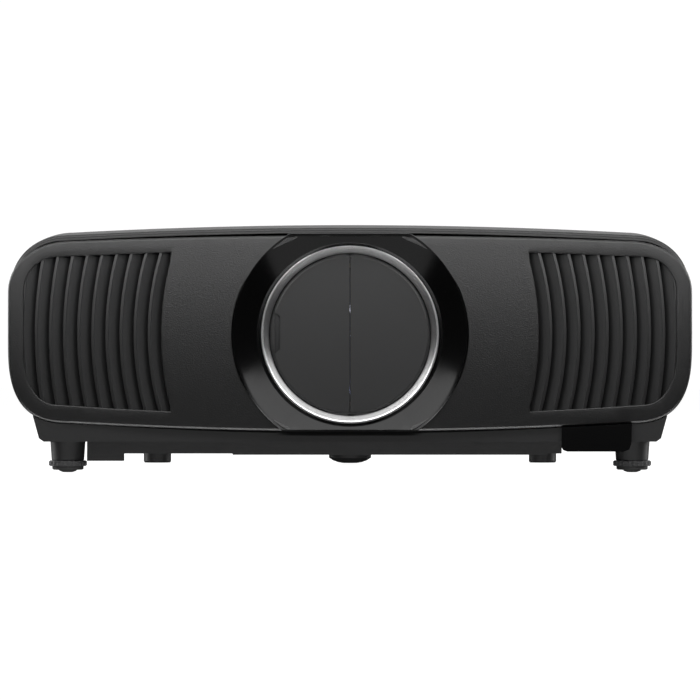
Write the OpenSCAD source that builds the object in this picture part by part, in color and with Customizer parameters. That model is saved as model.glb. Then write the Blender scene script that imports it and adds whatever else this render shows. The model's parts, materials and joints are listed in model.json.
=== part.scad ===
/* [Case] */
// Overall width of the projector
body_w = 520; // [520:1:520]
// Overall depth, front rim to rear panel
body_d = 447; // [447:1:447]
// Height of the top cover above the table, at its crown
body_h = 193; // [190:0.5:196]
// Wall thickness of the moulded shells
wall = 2.5; // [2:0.1:3]
// Depth of the front bezel moulding
bezel_d = 26; // [26:1:26]
// How far the bezel face curves back at its left and right ends
bezel_sag = 6; // [4:0.5:7]

/* [Lens opening] */
// Height of the lens axis above the table
lens_z = 105.4; // [105:0.1:106]
// Radius of the wide end of the lens surround
surround_r = 89.3; // [88:0.1:90]
// Outer radius of the bright trim ring
ring_r = 67.8; // [67:0.1:68]
// Inner radius of the trim ring
ring_in = 61.9; // [61.5:0.1:62.5]

/* [Shutter] */
// Radius of the two shutter halves
shutter_r = 61.4; // [61:0.1:61.8]
// Travel of each shutter half
shutter_travel = 62.5; // [60:0.5:62.5]
// Gear module of the shutter racks and pinion
shutter_mod = 0.8; // [0.8:0.1:0.8]
// Teeth on the shutter pinion
shutter_teeth = 12; // [12:1:12]

/* [Vents] */
// Number of louvre blades in each vent
blades = 9; // [7:1:9]
// Distance between neighbouring louvre blades
blade_pitch = 10.74; // [10.5:0.01:10.8]

/* [Lens] */
// Outer radius of the lens barrel
barrel_r = 50; // [50:1:50]
// Teeth on the focus and zoom rings
ring_teeth = 108; // [108:1:108]
// Vertical lens shift, each way
shift_v = 8.9; // [5:0.1:9]
// Horizontal lens shift, each way
shift_h = 7.7; // [5:0.1:7.8]

/* [Feet] */
// Distance of each front foot from the centre line
foot_x = 216.5; // [214:0.5:217]
// Front foot centre, behind the middle of the case
foot_y = -173; // [-174:0.5:-172]
// Distance of each rear foot from the centre line
rear_x = 160.5; // [158:0.5:162]

/* [Mounting] */
// Ceiling mount hole spacing across the case
mount_x = 300; // [300:1:300]
// Ceiling mount hole spacing front to back
mount_y = 260; // [260:1:260]
// Radius of the M4 mounting holes
mount_r = 2; // [1.9:0.05:2.1]

/* [Cooling] */
// Side of each square fan
fan_s = 100; // [96:1:100]
// Fan blades on each rotor
fan_blades = 7; // [5:1:9]

/* [Hidden] */

y_front = -body_d / 2;            // -223.5
y_rear = body_d / 2;              // 223.5
y_face = y_front + 1.5;           // middle of the bezel face
y_bz = y_face + bezel_d;          // rear edge of the bezel
case_grey = [0.16, 0.16, 0.17];
dark_grey = [0.10, 0.10, 0.11];
mid_grey = [0.30, 0.30, 0.31];
steel = [0.62, 0.63, 0.65];
alloy = [0.72, 0.73, 0.75];
board_green = [0.08, 0.28, 0.16];
glass_blue = [0.45, 0.55, 0.65, 0.6];

// a quarter of a superellipse, from angle a0 to a1
function sup(cx, cz, rx, rz, n, a0, a1, k = 12) =
  [for (i = [0:k]) let (a = a0 + (a1 - a0) * i / k, c = cos(a), s = sin(a))
    [cx + rx * sign(c) * pow(abs(c), 2 / n), cz + rz * sign(s) * pow(abs(s), 2 / n)]];
function flip(p) = [for (i = [len(p) - 1:-1:0]) [-p[i][0], p[i][1]]];
// right half of the bezel outline, from the top middle clockwise, pulled in by t
function bezel_half(t) = concat(
  [for (x = [0:30:180]) [x, 180.6 - t - 4.1 * pow(x / 211, 2)]],
  sup(211, 137.5, 49 - t, 39 - t, 2.1, 90, 0),
  sup(211, 100, 49 - t, 62 - t, 2.8, 0, -90),
  [for (x = [180:-30:0]) [x, 31.9 + t + 6.1 * pow(x / 211, 2)]]);
// right half of the case section where the top stands 'rise' above its front edge
function body_half(rise, t) = concat(
  [for (x = [0:30:180]) [x, 186.6 + rise - t - 5.9 * pow(x / 218, 2)]],
  sup(218, 140, 42 - t, 40.7 + rise - t, 2.05, 90, 0),
  sup(211, 100, 49 - t, 62 - t, 2.8, 0, -90),
  [for (x = [180:-60:0]) [x, 38 + t]]);
function whole(h) = concat(h, flip(h));
function rise(y) = 6.4 * (1 - pow((y - 10) / 206, 2));
function vent(t) = concat(
  [[136 - t, 167.8 + t]],
  sup(222, 138, 26 + t, 26.6 + t, 2, 90, 0),
  sup(222, 92, 26 + t, 40 + t, 2.2, 0, -90),
  [[180, 49.2 - t], [136.5 - t, 47 - t]],
  [for (i = [0:6]) let (a = -14 + 28 * i / 6) [-80.5 + (224 - t) * cos(a), 106 + (224 - t) * sin(a)]]);
// face of the bezel in plan, curving back to the sides
function face_y(x) = y_face + bezel_sag * pow(abs(x) / 255, 2);

// a 2D shape in X and Z, extruded from y0 to y1
module xz(y0, y1) { translate([0, y1, 0]) rotate([90, 0, 0]) linear_extrude(height = y1 - y0) children(); }
// a solid turned about an axis along Y; the profile's points are [radius, y]
module turn_y(p, cx = 0, cz = lens_z, a = 360, s = 0, fn = 96)
  translate([cx, 0, cz]) rotate([90, 0, 0])
    rotate_extrude(angle = a, start = s, $fn = fn) polygon([for (q = p) [q[0], -q[1]]]);
module cyl_y(r, y0, y1, cx = 0, cz = lens_z, fn = 96) translate([cx, y1, cz]) rotate([90, 0, 0]) cylinder(r = r, h = y1 - y0, $fn = fn);
module cyl_x(r, x0, x1, cy, cz, fn = 48) translate([x0, cy, cz]) rotate([0, 90, 0]) cylinder(r = r, h = x1 - x0, $fn = fn);
module cyl_z(r, z0, z1, cx, cy, fn = 48) translate([cx, cy, z0]) cylinder(r = r, h = z1 - z0, $fn = fn);
module box(x0, x1, y0, y1, z0, z1) translate([x0, y0, z0]) cube([x1 - x0, y1 - y0, z1 - z0]);

// involute gear outline: module m, n teeth, addendum ad, dedendum de, flank gap bl
function inv_pt(rb, t) = [rb * (cos(t) + t * PI / 180 * sin(t)), rb * (sin(t) - t * PI / 180 * cos(t))];
function inv_t(rb, r) = r <= rb ? 0 : sqrt(pow(r / rb, 2) - 1) * 180 / PI;
function spin2(p, a) = [p[0] * cos(a) - p[1] * sin(a), p[0] * sin(a) + p[1] * cos(a)];
function gear_pts(m, n, ad, de, bl) =
  let (r = m * n / 2, rb = r * cos(20), ra = r + ad, rd = r - de,
       pa = inv_pt(rb, inv_t(rb, r)), off = atan2(pa[1], pa[0]),
       half = 90 / n - bl / r * 90 / PI, k = 4,
       fl = [for (i = [0:k]) spin2(inv_pt(rb, inv_t(rb, max(rb, rd)) + (inv_t(rb, ra) - inv_t(rb, max(rb, rd))) * i / k), -off - half)],
       lo = spin2([rd, 0], atan2(fl[0][1], fl[0][0])),
       up = concat([lo], fl), tooth = concat(up, [for (i = [len(up) - 1:-1:0]) [up[i][0], -up[i][1]]]))
  [for (j = [0:n - 1]) for (p = tooth) spin2(p, j * 360 / n)];

// ---- outer shells ----
module bezel_solid(t) intersection() {
  xz(y_front - 2, y_bz + (t > 0 ? 1 : 0)) polygon(whole(bezel_half(t)));
  translate([0, 0, 10]) linear_extrude(height = 190)
    polygon(concat([for (x = [-262:26.2:262.1]) [x, face_y(x) + (t > 0 ? wall + 0.3 : 0)]], [[262, y_bz + 5], [-262, y_bz + 5]]));
}
module front_bezel() color(case_grey) difference() {
  bezel_solid(0);
  bezel_solid(wall);
  for (s = [0, 1]) mirror([s, 0, 0]) xz(y_front - 5, y_face + 12) polygon(vent(0));
  turn_y([[0, -240], [90.2, -240], [90.2, -220.4], [70.9, -203.2], [0, -203.2]]);
}
function tidy(p) = [for (q = p) [round(q[0] * 10) / 10, round(q[1] * 10) / 10]];
// the case body: sections along its depth, with the crown highest near the middle
module body_hull(t) hull() for (y = [-195.6, -130, -60, 10, 80, 150, 219])
  xz(y, y + 1) polygon(tidy(whole(body_half(rise(y), t))));
module top_cover() color(case_grey) difference() {
  body_hull(0);
  body_hull(wall);
  xz(-197, -194.7) polygon(tidy(whole(body_half(rise(-195.6), wall))));
  xz(219.9, 222) polygon(tidy(whole(body_half(rise(219), wall))));
  box(-280, 280, -230, 240, 10, 47.2);
  box(240, 280, 107.5, 202.5, 99.5, 138.5);      // control panel
  box(-280, -240, 39.5, 140.5, 79.5, 140.5);     // filter drawer
}
function low_pts(t) = [[-242 + t, 46.6 - t], [-236.5 + t, 26.6], [-232.8 + t / 2, 24 + t], [232.8 - t / 2, 24 + t], [236.5 - t, 26.6], [242 - t, 46.6 - t], [238 - t, 46.6 - t], [238 - t, 52], [-238 + t, 52], [-238 + t, 46.6 - t]];
module lower_case() color(case_grey) difference() {
  union() {
    difference() {
      xz(-212, 220) polygon(low_pts(0));
      translate([0, 0, 0.001]) xz(-209.5, 217.5) polygon(concat([for (p = low_pts(wall)) [p[0], p[1] > 50 ? 60 : p[1]]]));
    }
    for (s = [-1, 1]) {
      cyl_z(9, 24.5, 40, s * foot_x, foot_y);
      for (v = [-1, 1]) cyl_z(5.5, 24.5, 38, s * mount_x / 2, v * mount_y / 2);
    }
  }
  xz(-240, y_bz + 0.4) offset(delta = 0.4) polygon(whole(bezel_half(0)));
  for (s = [-1, 1]) {
    cyl_z(5.3, 0, 60, s * foot_x, foot_y);
    for (v = [-1, 1]) cyl_z(mount_r, 0, 60, s * mount_x / 2, v * mount_y / 2);
    for (y = [-80, 60, 198]) cyl_z(1.7, 0, 40, s * 222, y);
  }
}
module rear_panel() color(case_grey) difference() {
  intersection() {
    xz(220.4, y_rear) polygon(tidy(whole(body_half(rise(219), 0))));
    box(-270, 270, 210, 230, 47.4, 200);
  }
  // socket field and power inlet
  box(-20, 110, 216, 221, 60.5, 92.5);
  for (c = [[0, 66, 17, 7.4], [26, 66, 17, 7.4], [52, 64, 17, 14.8], [78, 64, 26, 12.8]])
    box(c[0] - c[2] / 2, c[0] + c[2] / 2, 215, 230, c[1], c[1] + c[3]);
  cyl_y(4.3, 215, 230, 102, 71, 48);
  box(-214.2, -181.8, 215, 230, 61.8, 88.2);
  // intake slots in the rear panel
  for (s = [-1, 1]) for (k = [0:11]) box(s * 150 - 62, s * 150 + 62, 215, 230, 102 + k * 6, 105 + k * 6);
}
module base_pan() color(dark_grey) {
  difference() {
    union() {
      box(-205, 165, -110, 110, 13, 23.9);
      box(-98, 97, -113, -109, 18.5, 23.9);
      box(-92, 155, -90, 90, 11.6, 13.2);
    }
    box(-203, 163, -108, 108, 15, 24.1);
  }
  box(-209, -180, -31, -15, 5.6, 13.1);
}
module grille() {
  intersection() {
    for (i = [0:blades - 1]) let (x = 239.5 - i * blade_pitch, r = 1 / (0.00309 + 0.00150 * i / (blades - 1)), yf = face_y(x) + 3)
      turn_y([[r, yf + 0.6], [r - 2.2, yf], [r - 11.5, yf + 8.6], [r - 11.9, yf + 10.4], [r - 2.4, yf + 1.9], [r, yf + 2.6]], cx = x - r, cz = 106, a = 36, s = -18, fn = 256);
    xz(-225, -198) polygon(vent(1));
  }
  difference() {
    xz(-211.6, -202.8) polygon(vent(3.2));
    xz(-213, -201) polygon(vent(0.2));
  }
}
module right_grille() color(dark_grey) grille();
module left_grille() color(dark_grey) mirror([1, 0, 0]) grille();
module lens_surround() color([0.05, 0.05, 0.055]) {
  intersection() {
    union() {
      turn_y([[68.3, -206.2], [surround_r, y_front], [89.9, y_front], [89.9, -220.8], [70.5, -204.6], [70.5, -203.4], [68.3, -203.4]]);
      intersection() {
        turn_y([[0, y_front], [89.9, y_front], [89.9, -220.8], [70.5, -204.6], [0, -204.6]]);
        union() { box(-80, 80, -230, -200, 180, 182.1); box(-80, 80, -230, -200, 31.9, 34); }
      }
    }
    box(-95, 95, -230, -200, 31.9, 182.1);
  }
}
module trim_ring() color(steel)
  turn_y([[ring_r, -203.4], [ring_r, -208.4], [67.2, -209], [65.9, -209], [65.5, -208.6], [ring_in, -204.6], [ring_in, -203.4]], fn = 128);
module ir_window() color([0.03, 0.03, 0.035]) difference() {
  union() {
    xz(-215.4, -212.2) polygon([[161, 40], [160.6, 20], [162, 17.6], [165, 16.5], [208, 16.5], [212, 18], [213.6, 22], [214.3, 40]]);
    xz(-213, -196) polygon([[163, 23.7], [163, 20], [165, 18.5], [206, 18.5], [210, 20], [211.5, 23.7]]);
  }
  xz(-240, -190) offset(delta = 0.4) polygon(whole(bezel_half(0)));
}

// ---- feet and fasteners ----
module rear_feet() color(dark_grey) {
  for (s = [-1, 1]) translate([s * rear_x, 176, 0]) rotate_extrude($fn = 64)
    polygon([[0, 0], [10.6, 0], [11.4, 1.2], [11.4, 7.6], [11.9, 8], [12.5, 23.9], [0, 23.9]]);
  translate([0, 157, 0]) rotate_extrude($fn = 64) polygon([[0, 0], [6, 0], [10, 0.7], [14, 2.1], [17.5, 4.4], [17.5, 23.9], [0, 23.9]]);
}
module front_foot_sockets() color(mid_grey)
  for (s = [-1, 1]) translate([s * foot_x, foot_y, 9.1]) rotate_extrude($fn = 96)
    polygon([[5.3, 0], [12.1, 0], [12.5, 0.4], [13.5, 14.8], [5.3, 14.8]]);
module case_screws() color(steel)
  for (s = [-1, 1]) for (y = [-80, 60, 198]) {
    cyl_z(2.9, 22, 23.9, s * 222, y);
    cyl_z(1.5, 23.8, 34, s * 222, y);
  }
module foot_pad(s) color(dark_grey) translate([s * foot_x, foot_y, 0]) rotate_extrude($fn = 96)
  polygon([[0, 0], [3.5, 0], [6.2, 0.9], [7.2, 1.9], [11, 1.9], [12, 2.6], [12, 4.6], [5, 4.6], [5, 46], [0, 46]]);
module foot_pad_left() foot_pad(-1);
module foot_pad_right() foot_pad(1);
module foot_knob(s) color(mid_grey) translate([s * foot_x, foot_y, 4.75]) difference() {
  union() {
    cylinder(r = 13.9, h = 4.2, $fn = 96);
    for (a = [0:15:345]) rotate([0, 0, a]) translate([13.7, 0, 0.5]) cylinder(r = 0.9, h = 3.2, $fn = 20);
  }
  translate([0, 0, -1]) cylinder(r = 5.06, h = 8, $fn = 96);
}
module foot_knob_left() foot_knob(-1);
module foot_knob_right() foot_knob(1);

// ---- lens shutter ----
sh_y0 = -202.6;                   // front of the shutter halves
sh_y1 = -200.3;                   // back of the shutter halves
rack_y0 = -195.4;
rack_y1 = -192.6;
pin_r = shutter_mod * shutter_teeth / 2;
pin_z = 35;
// rack bar from x0 to x1 with its pitch line at z, teeth towards dir
module rack(x0, x1, z, dir, ph) {
  p = PI * shutter_mod; ad = 0.7 * shutter_mod; de = 1.1 * shutter_mod; w = p / 2 - 0.14;
  n0 = ceil((x0 - ph) / p); n1 = floor((x1 - ph) / p) - 1;
  xz(rack_y0, rack_y1) union() {
    translate([x0, dir > 0 ? z - de - 2.2 : z + de]) square([x1 - x0, 2.2]);
    for (i = [n0:n1]) let (c = ph + i * p)
      polygon([[c - w / 2 - de * 0.36, z - dir * (de + 0.1)], [c - w / 2 + ad * 0.36, z + dir * ad], [c + w / 2 - ad * 0.36, z + dir * ad], [c + w / 2 + de * 0.36, z - dir * (de + 0.1)]]);
  }
}
module half_disc() intersection() {
  turn_y([[0, sh_y0], [59.1, sh_y0], [shutter_r, sh_y0 + 0.9], [shutter_r, sh_y1], [0, sh_y1]], fn = 128);
  box(0.25, 80, -210, -195, 40, 170);
}
module shutter_left() color(mid_grey) {
  difference() {
    mirror([1, 0, 0]) half_disc();
    xz(-210, sh_y0 + 1.2) polygon([[-53.2, 93.7], [-53.2, 119.5], [-57.6, 122.8], [-57.6, 90.3]]);
  }
  box(-20, -3, sh_y0, sh_y1, 40.4, 46);
  box(-20, -3, sh_y0, sh_y1, 164, 171);
  box(-20, -3, sh_y1 - 0.1, rack_y1, 40.9, 43.4);
  rack(-20, 66, pin_z + pin_r, -1, shutter_mod * PI / 2);
}
module shutter_right() color(mid_grey) {
  half_disc();
  box(3, 80, sh_y0, sh_y1, 40.4, 43.6);
  box(5, 20, sh_y0, sh_y1, 43, 46);
  box(3, 20, sh_y0, sh_y1, 164, 171);
  box(69, 80, sh_y1 - 0.1, rack_y1, 40.6, 43.4);
  box(69, 80, rack_y0, rack_y1, 27.6, 43.4);
  rack(-66, 80, pin_z - pin_r, 1, shutter_mod * PI / 2);
}
module shutter_pinion() color(alloy) translate([0, rack_y1 - 0.1, pin_z]) rotate([90, 0, 0]) difference() {
  linear_extrude(height = 2.8) rotate([0, 0, 90]) polygon(gear_pts(shutter_mod, shutter_teeth, 0.8 * shutter_mod, 1.1 * shutter_mod, 0.06));
  translate([0, 0, -1]) cylinder(r = 1.55, h = 6, $fn = 48);
}
module shutter_frame() color(dark_grey) {
  difference() {
    union() {
      box(-150, 158, -199.7, -197.4, 38, 176);
      for (x = [-116, 146]) { box(x, x + 12, -197.5, -192.8, 45, 52); box(x, x + 12, -195.2, -192.8, 26.6, 52); }
    }
    turn_y([[0, -210], [58.5, -210], [58.5, -190], [0, -190]], fn = 128);
    box(-84.5, 144.5, -205, -190, 40, 44.4);
    box(-152, -118, -205, -190, 53, 180);
    box(118, 160, -205, -190, 53, 180);
    box(-152, -118, -205, -190, 30, 44);
  }
  for (s = [-1, 1]) {
    box(min(s * 2, s * 84), max(s * 2, s * 84), -202.6, -199.6, 171.4, 174);
    box(s > 0 ? 2 : -84, s > 0 ? 146 : -2, -202.6, -199.6, 38, 39.9);
  }
}

// ---- motors fixed to the case ----
wheel_x = 88;                     // phosphor wheel axis
wheel_y = 40;
module drive_motors() color(alloy) {
  // shutter motor with its shaft in the pinion
  cyl_y(6.8, -192, -182.6, 0, pin_z, 48);
  cyl_y(1.5, -195.6, -191.9, 0, pin_z, 48);
  // vertical shift motor
  cyl_z(8, 28, 58, 90, -77);
  // phosphor wheel motor on its bracket
  cyl_y(13, wheel_y + 5, wheel_y + 22, wheel_x, lens_z + 15, 64);
  cyl_y(2, wheel_y - 1.5, wheel_y + 5.1, wheel_x, lens_z + 15, 48);
  box(wheel_x - 9, wheel_x + 9, wheel_y + 6, wheel_y + 21, 90.3, 112);
  // top bearing of the vertical shift screw
  difference() { box(84.3, 98, -83.9, -70, 173, 176); cyl_z(2.56, 170, 180, 90, -77); }
}

// ---- lens and lens shift ----
module lens_mount_frame() color(alloy) {
  difference() {
    box(-86, 86, -92, -88, 26.6, 180);
    cyl_y(63.5, -95, -85, 0, lens_z);
  }
  for (s = [-1, 1]) box(min(s * 80, s * 84), max(s * 80, s * 84), -88.1, -83.4, 26.6, 180);
  box(80, 98, -88.1, -84, 176.1, 180);
  box(84, 98, -84.1, -70, 176.1, 180);
}
module v_shift_plate() color([0.45, 0.46, 0.48]) difference() {
  union() {
    box(-79.5, 79.5, -87.6, -83.7, lens_z - 66, lens_z + 66);
    for (s = [-1, 1]) box(-79, 79, -83.8, -79.2, lens_z + (s > 0 ? 62.6 : -66), lens_z + (s > 0 ? 66 : -62.6));
    box(71.5, 79, -83.8, -71, lens_z - 6, lens_z + 6);
    box(71.5, 97, -83, -71, lens_z - 6, lens_z + 6);
    box(-79, -71.5, -83.8, -63, 47.4, 59.4);
    box(71.5, 79, -83.8, -63, 47.4, 59.4);
  }
  cyl_y(59.2, -90, -80, 0, lens_z);
  cyl_z(2.56, 80, 130, 90, -77);
  cyl_x(2.06, -85, 85, -70, 53.4);
}
module h_shift_plate() color([0.52, 0.53, 0.55]) difference() {
  union() {
    box(-62, 62, -83.4, -79.4, lens_z - 62.2, lens_z + 62.2);
    box(10, 22, -79.5, -64, 47.4, 59.4);
  }
  cyl_y(34, -90, -70, 0, lens_z);
  cyl_x(2.06, 0, 30, -70, 53.4);
}
module lens_barrel() color(dark_grey) {
  turn_y([[48, -188], [barrel_r, -188], [barrel_r, -92], [barrel_r, -83.6], [36, -83.6], [36, -88], [48, -88]], fn = 128);
  turn_y([[30, -79.2], [34, -79.2], [34, -40], [30, -40], [30, -44], [31.9, -44], [31.9, -75], [30, -75]], fn = 128);
  // stops that keep the two rings in place
  for (y = [-182.4, -167.2, -152.4, -137.2]) turn_y([[49.9, y], [51.4, y], [51.4, y + 1.6], [49.9, y + 1.6]], fn = 128);
}
module lens_cell() color([0.2, 0.2, 0.21])
  turn_y([[45, -187], [47.94, -187], [47.94, -172], [43, -172], [43, -174.5], [45, -174.5]], fn = 128);
module front_glass() color(glass_blue)
  turn_y(concat([[0, -188.5]], [for (i = [1:8]) [45 * i / 8, -188.5 + 110 - sqrt(110 * 110 - pow(45 * i / 8, 2))]], [[45, -174.7], [0, -176.5]]), fn = 96);
module rear_glass() color(glass_blue)
  turn_y([[0, -60], [20, -59], [31.9, -56], [31.9, -48], [0, -46]], fn = 96);
module toothed_ring(y0, y1) difference() {
  translate([0, y1, lens_z]) rotate([90, 0, 0]) linear_extrude(height = y1 - y0) polygon(gear_pts(1, ring_teeth, 0.7, 1.2, 0.06));
  cyl_y(barrel_r + 0.06, y0 - 1, y1 + 1, 0, lens_z, 128);
}
module focus_ring() color(dark_grey) toothed_ring(-180, -168);
module zoom_ring() color(dark_grey) toothed_ring(-150, -138);
// pinion centres, at 45 degrees above the lens axis; a tooth gap faces the ring
pc = 60.1 * cos(45);
module ring_pinion(s, y0) translate([s * pc, y0 + 10, lens_z + pc]) rotate([90, 0, 0]) difference() {
  linear_extrude(height = 9) rotate([0, 0, s > 0 ? 225 : 315]) polygon(gear_pts(1, 12, 0.7, 1.2, 0.06));
  translate([0, 0, -1]) cylinder(r = 1.55, h = 12, $fn = 48);
}
module focus_pinion() color(alloy) ring_pinion(1, -179.5);
module zoom_pinion() color(alloy) ring_pinion(-1, -149.5);
module ring_motor(s, y0) difference() {
  union() {
    cyl_y(8, y0, y0 + 12, s * pc, lens_z + pc, 48);
    cyl_y(1.5, y0 - 12, y0 + 0.1, s * pc, lens_z + pc, 48);
    translate([s * pc, y0 + 3, lens_z + pc]) rotate([0, s > 0 ? 45 : -45, 0]) translate([-5, 0, -14]) cube([10, 9, 8]);
  }
  cyl_y(barrel_r, y0 - 20, y0 + 20, 0, lens_z, 128);
}
module lens_motors() color(alloy) { ring_motor(1, -165.4); ring_motor(-1, -135.4); }
module v_shift_screw() color(steel) cyl_z(2.5, 58.1, 175.5, 90, -77);
module h_shift_screw() color(steel) cyl_x(2, -79, 79, -70, 53.4);
module h_shift_motor() color(alloy) cyl_x(6.5, -101, -79.1, -70, 53.4);

// ---- optics ----
module prism_block() {
  color(glass_blue) box(-15, 15, -32, -2, lens_z - 15, lens_z + 15);
  // the three imaging panels, one on each free face
  color([0.5, 0.5, 0.52]) {
    for (s = [-1, 1]) box(min(s * 15.4, s * 19), max(s * 15.4, s * 19), -29, -5, lens_z - 12, lens_z + 12);
    box(-12, 12, -1.6, 2, lens_z - 12, lens_z + 12);
  }
}
module optics_base() color([0.25, 0.25, 0.26]) {
  box(-62, 124, -36, 84, 82, 90.2);
  for (x = [-62, 114]) for (y = [-36, 74]) box(x, x + 10, y, y + 10, 26.7, 82.1);
  difference() { box(-62, 124, -36, 84, 90, 124); box(-57, 119, -38.1, 79, 89, 126); }
}
module relay_lenses() color(glass_blue) {
  for (x = [40, 66]) intersection() { cyl_x(13, x, x + 5, -17, lens_z); translate([x + 22, -17, lens_z]) sphere(r = 22, $fn = 96); }
  // fold mirrors standing on the optics base
  translate([100, -17, 90.3]) rotate([0, 0, 45]) translate([-1, -14, 0]) cube([2, 28, 30]);
  translate([-40, -17, 90.3]) rotate([0, 0, -45]) translate([-1, -14, 0]) cube([2, 28, 30]);
}
module phosphor_wheel() color([0.85, 0.78, 0.35]) difference() {
  union() {
    cyl_y(27, wheel_y, wheel_y + 1.6, wheel_x, lens_z + 15);
    cyl_y(8, wheel_y - 2, wheel_y + 3.5, wheel_x, lens_z + 15, 48);
  }
  cyl_y(2.05, wheel_y - 5, wheel_y + 10, wheel_x, lens_z + 15, 48);
}
module laser_module() color([0.55, 0.42, 0.3]) {
  box(132, 192, -6, 66, 70, 130);
  cyl_x(10, 125, 132.1, 20, lens_z, 48);
  for (y = [4, 46]) box(136, 188, y, y + 8, 26.7, 70.1);
}
module heatsink() {
  color(alloy) difference() {
    union() for (k = [0:17]) box(128, 224, 82 + k * 4.4, 83.4 + k * 4.4, 44, 150);
    for (x = [146, 166, 186]) for (z = [82, 112]) cyl_y(3.2, 60, 200, x, z, 32);
  }
  color([0.72, 0.42, 0.25]) for (x = [146, 166, 186]) for (z = [82, 112]) cyl_y(3.2, 66.2, 166, x, z, 32);
  color(alloy) for (x = [128, 212]) box(x, x + 12, 82, 158.2, 41, 44.1);
  color(alloy) for (x = [128, 212]) for (y = [82, 152]) box(x, x + 12, y, y + 6, 26.7, 41.1);
}
// ---- cooling fans ----
fan_x = 192; fan_z = 107;
module fan_frame(s) translate([s * fan_x, 0, 0]) difference() {
  union() {
    difference() {
      box(-fan_s / 2, fan_s / 2, -195.2, -170, fan_z - fan_s / 2, fan_z + fan_s / 2);
      turn_y([[0, -200], [47.5, -200], [47.5, -160], [0, -160]], cz = fan_z);
    }
    cyl_y(19, -172.6, -170, 0, fan_z, 64);
    for (a = [45:90:315]) translate([0, 0, fan_z]) rotate([0, a, 0]) box(18, 48, -172.6, -170, -2.5, 2.5);
    cyl_y(2, -188, -172.5, 0, fan_z, 48);
  }
  for (x = [-1, 1]) for (z = [-1, 1]) cyl_y(2.2, -200, -160, x * (fan_s / 2 - 6), fan_z + z * (fan_s / 2 - 6), 32);
}
module fan_frames() color(dark_grey) { fan_frame(-1); fan_frame(1); }
module fan_rotor(s) color([0.07, 0.07, 0.08]) translate([s * fan_x, 0, 0]) difference() {
  union() {
    cyl_y(19, -192, -174, 0, fan_z, 64);
    intersection() {
      for (k = [0:fan_blades - 1]) translate([0, -183, fan_z]) rotate([0, k * 360 / fan_blades, 0]) rotate([s * 32, 0, 0]) translate([17, -0.9, -13]) cube([29, 1.8, 26]);
      turn_y([[15, -193], [46.3, -193], [46.3, -174], [15, -174]], cz = fan_z);
    }
  }
  cyl_y(2.06, -200, -170, 0, fan_z, 48);
}
module intake_rotor() fan_rotor(-1);
module exhaust_rotor() fan_rotor(1);

// ---- electronics ----
module power_board() {
  color(board_green) box(-234, -118, 20, 208, 46, 47.6);
  color([0.2, 0.2, 0.21]) {
    box(-206, -176, 60, 100, 47.6, 76); box(-150, -126, 130, 172, 47.6, 70);
    for (y = [30, 120, 150]) cyl_z(11, 47.6, 78, -146, y < 100 ? y + 6 : y - 16);
  }
  color(alloy) for (x = [-230, -126]) for (y = [26, 198]) cyl_z(3, 26.7, 46, x, y, 32);
}
module main_board() {
  color(board_green) box(-108, 118, 92, 214, 56, 57.6);
  color([0.12, 0.12, 0.13]) { box(-60, -20, 120, 160, 57.6, 60.5); box(20, 60, 110, 140, 57.6, 60); box(-90, -72, 180, 200, 57.6, 70); }
  color(alloy) {
    for (x = [-104, 112]) for (y = [96, 208]) cyl_z(3, 26.7, 56, x, y, 32);
    for (k = [0:9]) box(-60 + k * 4.4, -58.6 + k * 4.4, 120, 160, 60.6, 74);
    box(-60, -19, 120, 160, 60.5, 62);
  }
  // key board behind the control panel
  color(board_green) box(244, 245.6, 112, 198, 104, 134);
}
module sock(x, z, w, h, t, d) difference() {
  box(x - w / 2 - t, x + w / 2 + t, 222.6 - d, 222.6, z - t, z + h + t);
  box(x - w / 2, x + w / 2, 222.6 - d + 3, 224, z, z + h);
}
module rear_sockets() {
  color(steel) {
    sock(0, 67.4, 14.2, 4.6, 1, 22);
    sock(26, 67.4, 14.2, 4.6, 1, 22);
    sock(52, 65.4, 13.6, 12, 1.2, 24);
    sock(78, 65.4, 23, 10, 1.2, 20);
  }
  color(dark_grey) difference() { cyl_y(4, 204, 222.6, 102, 71, 48); cyl_y(2.2, 208, 224, 102, 71, 48); }
}
module ac_inlet() color([0.06, 0.06, 0.065]) {
  difference() {
    box(-214, -182, 200, 222.6, 62, 88);
    box(-210.5, -185.5, 204.5, 224, 66.5, 83.5);
  }
  for (x = [-205, -198, -191]) box(x - 1, x + 1, 204.4, 218, 73, 77);
}
// ---- control panel on the right side ----
keys = [["power", 186, 119], ["menu", 162, 127], ["back", 162, 111], ["enter", 134, 119],
        ["up", 134, 130], ["down", 134, 108], ["left", 145, 119], ["right", 123, 119]];
module control_panel() color(dark_grey) difference() {
  box(256.4, 259, 108, 202, 100, 138);
  for (k = keys) cyl_x(k[0] == "power" ? 6.3 : 4.3, 250, 262, k[1], k[2]);
}
module button(i, r) translate([0, keys[i][1], keys[i][2]]) {
  cyl_x(r, 254.4, 259.7, 0, 0, 64);
  cyl_x(r + 0.9, 253.2, 254.6, 0, 0, 64);
  cyl_x(1.5, 246.6, 253.3, 0, 0, 32);
}
module power_button() color(mid_grey) button(0, 6);
module menu_button() color(mid_grey) button(1, 4);
module back_button() color(mid_grey) button(2, 4);
module enter_button() color(mid_grey) button(3, 4);
module up_button() color(mid_grey) button(4, 4);
module down_button() color(mid_grey) button(5, 4);
module left_button() color(mid_grey) button(6, 4);
module right_button() color(mid_grey) button(7, 4);
// ---- air filter on the left side ----
module filter_drawer() {
  color(dark_grey) {
    difference() { box(-259.2, -256.6, 40, 140, 80, 140); box(-262, -258, 76, 104, 126, 134); }
    difference() { box(-256.7, -244, 44, 136, 84, 136); box(-260, -240, 48, 132, 88, 132); }
    for (y = [70, 110]) box(-256.7, -254, y - 1, y + 1, 84, 136);
  }
  color([0.75, 0.75, 0.72]) for (k = [0:26]) box(-253.8, -244.4, 48.6 + k * 3.08, 50 + k * 3.08, 87.9, 132.1);
}

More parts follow.
